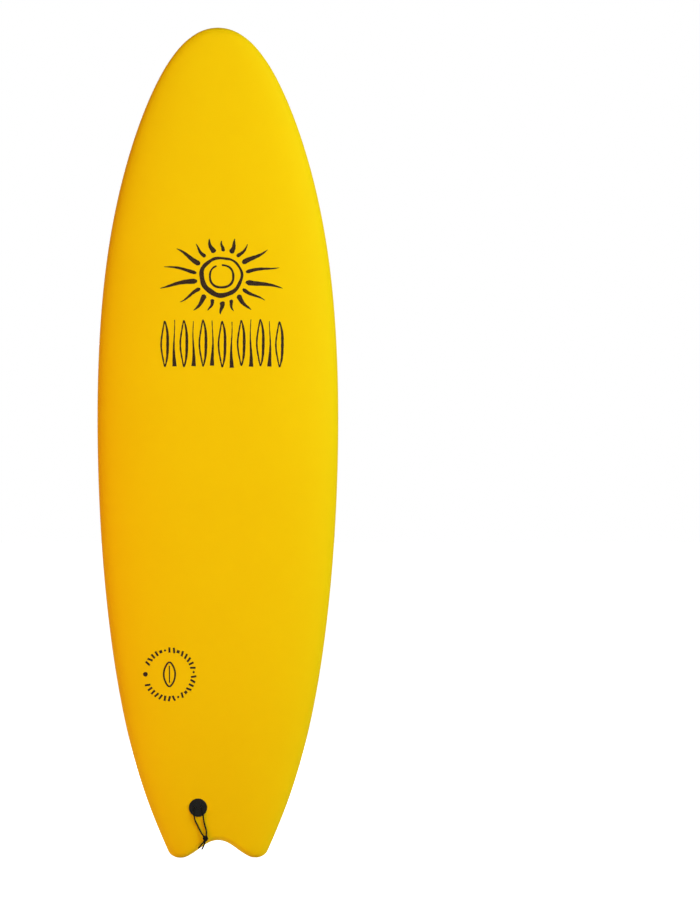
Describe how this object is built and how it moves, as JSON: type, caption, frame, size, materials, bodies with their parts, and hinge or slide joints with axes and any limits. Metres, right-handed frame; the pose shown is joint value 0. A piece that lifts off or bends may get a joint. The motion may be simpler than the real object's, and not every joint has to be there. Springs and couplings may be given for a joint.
{
  "type": "surfboard",
  "caption": "Soft-top surfboard with a swallow tail, foam deck, printed slick bottom, bolt-on fins and a leash plug with a swinging tie string.",
  "frame": {"origin": "on the plane of the two tail tips, under the middle of the bounding box", "axes": "+Z from the tail tips to the nose, +X to the rider's right, the deck faces -Y and the bottom with its fins faces +Y"},
  "size_m": [0.5338, 0.2262, 1.8284],
  "materials": {
    "deck_foam": "closed-cell foam, satin",
    "bottom_sheet": "glossy white sheet with a black printed pattern",
    "layer_foam": "closed-cell foam",
    "core_foam": "expanded foam beads",
    "stringer_wood": "plain thin plywood",
    "fin_plastic": "moulded, fine satin texture",
    "mount_plastic": "moulded",
    "screw_steel": "blackened",
    "insert_brass": "turned",
    "plug_plastic": "moulded, satin",
    "string_cord": "braided polyester"
  },
  "bodies": {
    "board": {"deck_skin": "deck_foam", "slick_sheet": "bottom_sheet", "bottom_foam": "layer_foam", "core_left": "core_foam", "core_centre": "core_foam", "core_right": "core_foam", "stringer_left": "stringer_wood", "stringer_right": "stringer_wood", "fin_left": "fin_plastic", "fin_right": "fin_plastic", "fin_centre": "fin_plastic", "fin_mount_left": "mount_plastic", "fin_mount_right": "mount_plastic", "fin_mount_centre": "mount_plastic", "fin_screws_left": "screw_steel", "fin_screws_right": "screw_steel", "fin_screws_centre": "screw_steel", "fin_inserts_left": "insert_brass", "fin_inserts_right": "insert_brass", "fin_inserts_centre": "insert_brass", "leash_plug_deck": "plug_plastic", "leash_plug_base": "plug_plastic", "string_anchor": "string_cord"},
    "leash_loop": {"string_strand_a": "string_cord", "string_strand_b": "string_cord", "string_knot": "string_cord", "string_tail_a": "string_cord", "string_tail_b": "string_cord"}
  },
  "joints": [
    {"name": "leash_loop_swing", "type": "hinge", "parent": "board", "child": "leash_loop", "pos_m": [-0.044, -0.0683, 0.11271], "axis": [-1, 0, 0], "range_deg": [0, 165]}
  ]
}
